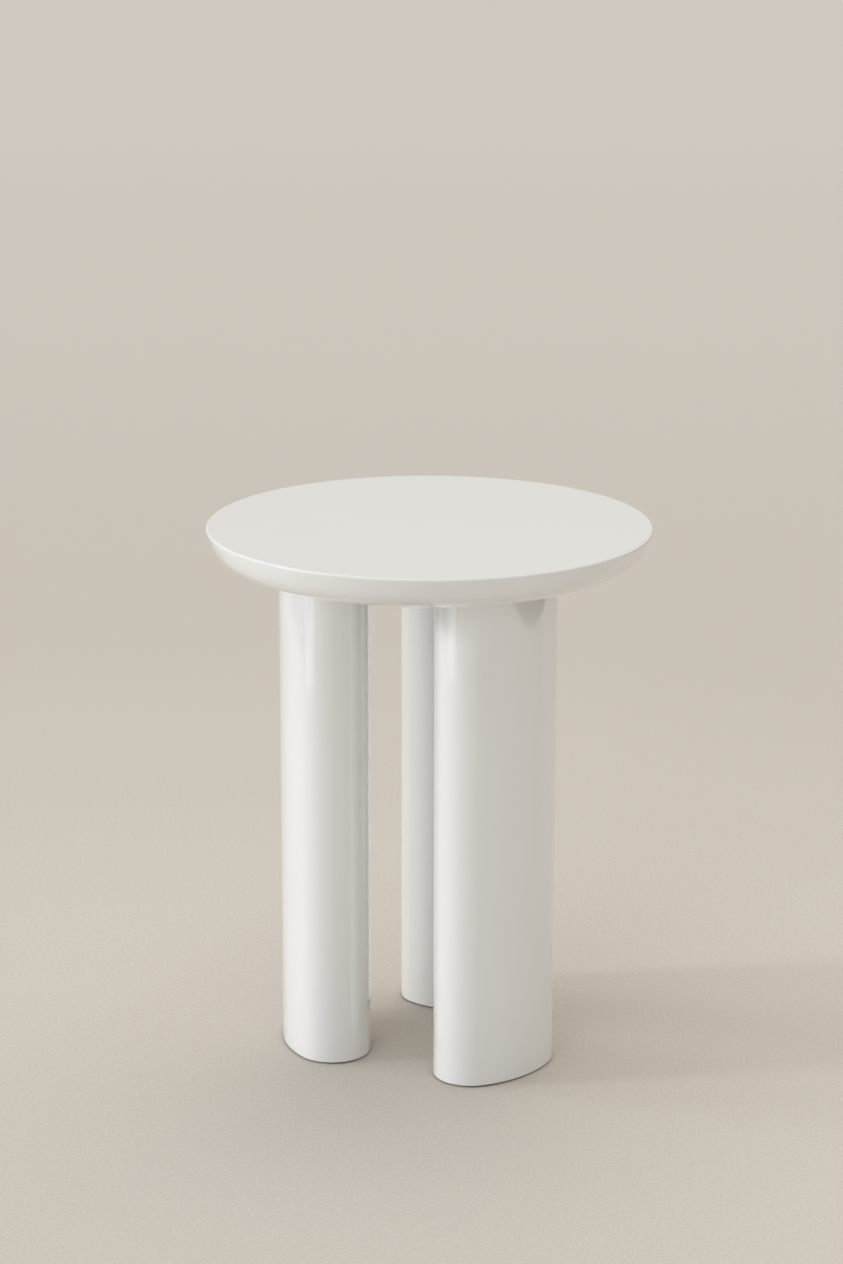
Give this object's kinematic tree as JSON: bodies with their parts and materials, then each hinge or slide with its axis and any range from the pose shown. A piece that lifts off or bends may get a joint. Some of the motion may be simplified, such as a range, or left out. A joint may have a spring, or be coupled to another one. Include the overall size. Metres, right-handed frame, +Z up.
{
  "type": "side table",
  "caption": "Round side table in white gloss lacquer: the edge of its top rolls under, and it stands on upright oval column legs with dark foot plates.",
  "frame": {"origin": "on the floor, below the middle of the top", "axes": "+Z up to the table top, the front faces -Y, +X to the right of someone at the front"},
  "size_m": [0.45, 0.45, 0.55],
  "materials": {
    "white_lacquer": "gloss lacquer on board",
    "plywood": "raw plywood",
    "beech": "raw beech",
    "zinc_steel": "zinc plated",
    "black_foot": "matte moulded"
  },
  "bodies": {
    "root": {"top_panel": "white_lacquer", "rear_leg_shell": "white_lacquer", "rear_head_block": "plywood", "rear_leg_rib": "plywood", "rear_base_block": "plywood", "rear_tie_rod": "zinc_steel", "rear_foot_plate": "black_foot", "left_leg_shell": "white_lacquer", "left_head_block": "plywood", "left_leg_rib": "plywood", "left_base_block": "plywood", "left_tie_rod": "zinc_steel", "left_foot_plate": "black_foot", "front_leg_shell": "white_lacquer", "front_head_block": "plywood", "front_leg_rib": "plywood", "front_base_block": "plywood", "front_tie_rod": "zinc_steel", "front_foot_plate": "black_foot", "threaded_inserts": "zinc_steel", "tie_rod_washers": "zinc_steel", "tie_rod_nuts": "zinc_steel", "locating_dowels": "beech", "foot_screws": "zinc_steel"}
  },
  "joints": []
}
